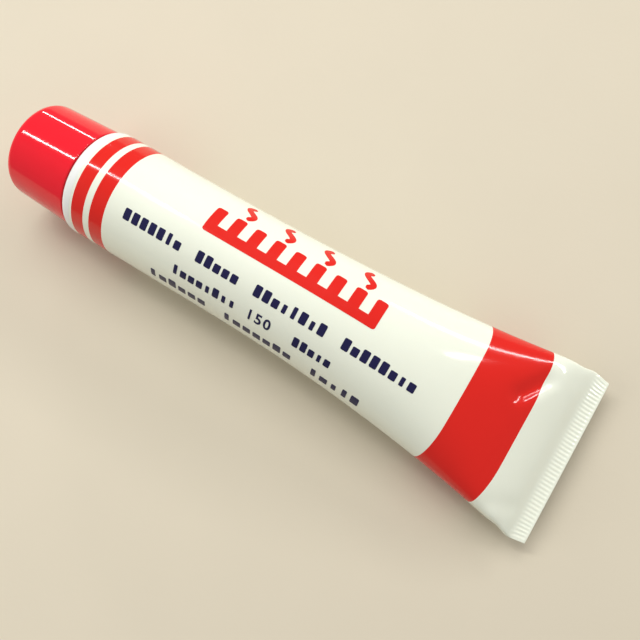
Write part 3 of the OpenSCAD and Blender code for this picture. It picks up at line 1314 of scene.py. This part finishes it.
@dataclass
class ScrewCap:
    """The wide red cap with its socket, thread and webs, and the liner in the socket."""

    place: TubeFrame
    end_radius: float = 13.4 * MM
    edge_round: float = 2.0 * MM
    wall: float = 1.3 * MM
    floor: float = 1.6 * MM
    socket_radius: float = 7.2 * MM
    socket_wall: float = 1.2 * MM
    socket_mouth: float = 15.5 * MM
    webs: int = 6
    web_thickness: float = 0.9 * MM
    web_end: float = 11.0 * MM

    def shell(self) -> bpy.types.Mesh:
        """Closed end, skirt and socket, turned from one outline."""
        length, rim, end = self.place.cap_length, self.place.cap_radius, self.end_radius
        outer_socket = self.socket_radius + self.socket_wall
        corners = [
            (0.0, 0.12 * MM, 0.0),
            (0.75 * MM, 0.12 * MM, 0.1 * MM),
            (0.85 * MM, 0.5 * MM, 0.12 * MM),
            (2.0 * MM, 0.5 * MM, 0.25 * MM),
            (2.4 * MM, 0.3 * MM, 0.25 * MM),
            (9.8 * MM, 0.3 * MM, 0.4 * MM),
            (10.3 * MM, 0.0, 0.3 * MM),
            (end - 0.05 * MM, 0.0, self.edge_round * 1.15),
            (rim, length, 0.25 * MM),
            (rim - self.wall, length, 0.3 * MM),
            (end - self.wall, self.floor + 1.0 * MM, 0.3 * MM),
            (end - self.wall - 1.0 * MM, self.floor, 0.3 * MM),
            (outer_socket, self.floor, 0.4 * MM),
            (outer_socket, self.socket_mouth, 0.25 * MM),
            (self.socket_radius + 0.4 * MM, self.socket_mouth, 0.15 * MM),
            (self.socket_radius, self.socket_mouth - 0.6 * MM, 0.2 * MM),
            (self.socket_radius, self.floor, 0.25 * MM),
            (0.0, self.floor, 0.0),
        ]
        outline = soften(corners, steps=7)
        return self.place.lathe("screw_cap_shell", outline, closed=False, around=256)

    def thread(self) -> ScrewThread:
        """The ridge inside the socket, half a pitch from the neck's."""
        return ScrewThread(
            pitch=3.0 * MM,
            turns=2.5,
            start=6.1 * MM,
            foot_radius=self.socket_radius + 0.15 * MM,
            crest_radius=self.socket_radius - 0.95 * MM,
            foot_width=1.3 * MM,
            crest_width=0.6 * MM,
        )

    def ribs(self, material: bpy.types.Material) -> bpy.types.Mesh:
        """The webs between the socket and the skirt."""
        tree = GeometryTree("cap_webs")
        count, radius = tree.size("Count", "Int"), tree.size("Radius")
        deep, thick, high = tree.size("Depth"), tree.size("Thickness"), tree.size("Height")
        size = tree.add("ShaderNodeCombineXYZ", {"X": deep, "Y": thick, "Z": high})
        plate = tree.add(
            "GeometryNodeMeshCube",
            {"Size": size, "Vertices X": 5, "Vertices Y": 3, "Vertices Z": 9},
        )
        spot = tree.add("GeometryNodeInputPosition", {})
        axes = tree.node("ShaderNodeSeparateXYZ", {"Vector": spot}).outputs
        top = tree.fade(axes["Z"], 0.0, tree.math("MULTIPLY", high, 0.5))
        draft, slope = -0.3, 0.25
        slim = tree.math("MULTIPLY", tree.math("MULTIPLY", top, axes["Y"]), draft)
        lip = tree.math("MULTIPLY", tree.math("MULTIPLY", top, axes["X"]), slope)
        thinner = tree.add("ShaderNodeCombineXYZ", {"Y": slim, "Z": lip})
        drafted = tree.add("GeometryNodeSetPosition", {"Geometry": plate, "Offset": thinner})
        step = tree.math("DIVIDE", 2 * math.pi, count)
        circle = tree.add(
            "GeometryNodeMeshCircle", {"Vertices": count, "Radius": radius}, fill_type="NONE"
        )
        dots = tree.add("GeometryNodeMeshToPoints", {"Mesh": circle})
        index = tree.add("GeometryNodeInputIndex", {})
        facing = tree.add("ShaderNodeCombineXYZ", {"Z": tree.math("MULTIPLY", index, step)})
        copies = tree.add(
            "GeometryNodeInstanceOnPoints",
            {"Points": dots, "Instance": drafted, "Rotation": facing},
        )
        tree.close(copies, material)
        bite, skirt_bite = mm(0.3, 0.45)
        inner = self.socket_radius + self.socket_wall - bite
        outer = self.end_radius - self.wall + skirt_bite
        height = self.web_end - self.floor + bite
        mesh = tree.grow(
            {
                "Count": self.webs,
                "Radius": (inner + outer) / 2,
                "Depth": outer - inner,
                "Thickness": self.web_thickness,
                "Height": height,
            }
        )
        mesh.transform(Matrix.Rotation(math.pi / self.webs, 4, "Z"))
        mesh.transform(Matrix.Translation((0.0, 0.0, self.web_end - height / 2)))
        return outward(self.place.turn_mesh(mesh))

    def liner(self) -> bpy.types.Mesh:
        """The soft wad, dented by the neck's tip."""
        low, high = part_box("cap_liner")
        near, far = low.x - self.place.start_x, high.x - self.place.start_x
        radius = (high.y - low.y) / 2
        corners = [
            (0.0, near, 0.0),
            (radius, near, 0.15 * MM),
            (radius, far, 0.15 * MM),
            (5.75 * MM, far, 0.1 * MM),
            (5.5 * MM, far - 0.12 * MM, 0.12 * MM),
            (2.9 * MM, far - 0.12 * MM, 0.12 * MM),
            (2.6 * MM, far, 0.1 * MM),
            (0.0, far, 0.0),
        ]
        return self.place.lathe("cap_liner_wad", soften(corners), closed=False, around=144)

    def build(self, red: bpy.types.Material, foam: bpy.types.Material) -> None:
        """Make the cap's pieces and the liner."""
        show("screw_cap_shell", self.shell(), [red], Body.CAP, ("screw_cap",))
        ridge = self.thread().build(self.place, red)
        show("socket_thread", ridge, [red], Body.CAP, ("screw_cap",))
        show("cap_webs", self.ribs(red), [red], Body.CAP, ("screw_cap",))
        show("cap_liner_wad", self.liner(), [foam], Body.SEAL, ("cap_liner",))


# ---------------------------------------------------------------------------------------------
# Studio
# ---------------------------------------------------------------------------------------------


@dataclass(frozen=True)
class StripLight:
    """A lamp between two points, facing a third."""

    name: str
    start: tuple[float, float, float]
    end: tuple[float, float, float]
    width: float
    radiance: float
    glossy: bool = True

    def build(self, target: Vector) -> None:
        """Hang the lamp so that it faces the target."""
        a, b = Vector(self.start), Vector(self.end)
        middle, along = (a + b) / 2, (b - a)
        back = (middle - target).normalized()
        side = along.normalized()
        up = back.cross(side).normalized()
        side = up.cross(back)
        light = bpy.data.lights.new(self.name, "AREA")
        light.shape = "RECTANGLE"
        light.size = along.length
        light.size_y = self.width
        light.energy = self.radiance * math.pi * light.size * light.size_y
        lamp = placed(self.name, light)
        turn = Matrix((side, up, back)).transposed().to_4x4()
        lamp.matrix_world = Matrix.Translation(middle) @ turn
        lamp.visible_glossy = self.glossy
        lamp.visible_camera = False


@dataclass
class Studio:
    """Floor, lamps and camera."""

    eye: tuple[float, float, float] = (38.85 * MM, -26.98 * MM, 171.0 * MM)
    target: tuple[float, float, float] = (10.86 * MM, -2.12 * MM, 15.0 * MM)
    up_heading: float = 121.65
    lens: float = 35.73
    sky: tuple[float, float, float] = (1.0, 0.985, 0.95)
    sky_strength: float = 0.27
    floor_half: float = 2.5

    def camera(self) -> None:
        """Set the camera."""
        data = bpy.data.cameras.new("camera")
        data.lens, data.sensor_width = self.lens, 36.0
        data.clip_start, data.clip_end = 0.01, 20.0
        camera = placed("camera", data)
        eye, target = Vector(self.eye), Vector(self.target)
        forward = (target - eye).normalized()
        heading = math.radians(self.up_heading)
        right = forward.cross(Vector((math.cos(heading), math.sin(heading), 0.0))).normalized()
        up = right.cross(forward)
        turn = Matrix((right, up, -forward)).transposed().to_4x4()
        camera.matrix_world = Matrix.Translation(eye) @ turn
        bpy.context.scene.camera = camera

    def floor(self) -> None:
        """Lay the floor."""
        signs = ((-1, -1, 0), (1, -1, 0), (1, 1, 0), (-1, 1, 0))
        corners = self.floor_half * np.array(signs)
        mesh = mesh_from("floor", corners, [(0, 1, 2, 3)])
        mesh.materials.append(FLOOR_PALE.build())
        placed("floor", mesh)

    def lights(self) -> None:
        """Hang the lamps and set the sky."""
        target = Vector((0.0, 0.0, 15.0 * MM))
        low, high = 0.62, 1.2
        lamps = (
            StripLight("far_cap_lamp", (-1.9, 1.95, low), (-1.45, 1.79, low), 0.07, 42.0),
            StripLight("far_tail_lamp", (0.08, 1.23, low), (1.25, 0.8, low), 0.05, 34.0),
            StripLight("near_cap_lamp", (-1.21, 0.043, high), (-0.6, 0.335, high), 0.06, 42.0),
            StripLight("crease_lamp", (0.41, 0.41, low), (0.478, 0.535, low), 0.02, 44.0),
            StripLight("soft_key", (-0.4, 0.15, 0.7), (0.0, 0.45, 0.7), 0.45, 4.7, glossy=False),
            StripLight("cap_fill", (-0.42, -0.1, 0.3), (-0.3, -0.36, 0.3), 0.3, 2.4, glossy=False),
        )
        for lamp in lamps:
            lamp.build(target)
        world = bpy.data.worlds.new("sky")
        world.use_nodes = True
        back = world.node_tree.nodes["Background"]
        back.inputs["Color"].default_value = (*self.sky, 1.0)
        back.inputs["Strength"].default_value = self.sky_strength
        bpy.context.scene.world = world
        bpy.context.scene.view_settings.view_transform = "Standard"

    def build(self) -> None:
        """Make the whole studio."""
        self.camera()
        self.floor()
        self.lights()


def main() -> None:
    """Build every piece and the studio round them."""
    logging.basicConfig(level=logging.INFO, format="%(message)s")
    place = TubeFrame.read()
    creases = (
        Crease(*mm(141.0, 3.0, 150.0, 16.0, 1.7, 2.6, 0.77)),
        Crease(*mm(151.5, 15.0, 160.0, 22.5, 2.4, 4.0, 0.16)),
        Crease(*mm(146.0, -19.0, 158.0, -15.0, 2.4, 2.4, 0.25)),
    )
    form = SleeveForm(place, creases=creases)
    bands = (Band(*mm(23.85, 27.6)), Band(*mm(29.45, 33.5)), Band(*mm(130.8, 147.0)))
    white, red_ink = SLEEVE_WHITE.build(), RED_INK.build()
    TubeSleeve(form, bands).build(white, red_ink)
    LabelPrint(form).build(red_ink, NAVY_INK.build())
    TubeHead(place, form).build(HEAD_WHITE.build(), FOIL.build(), PASTE.build())
    ScrewCap(place).build(CAP_RED.build(), LINER_FOAM.build())
    Studio().build()


if __name__ == "__main__":
    main()
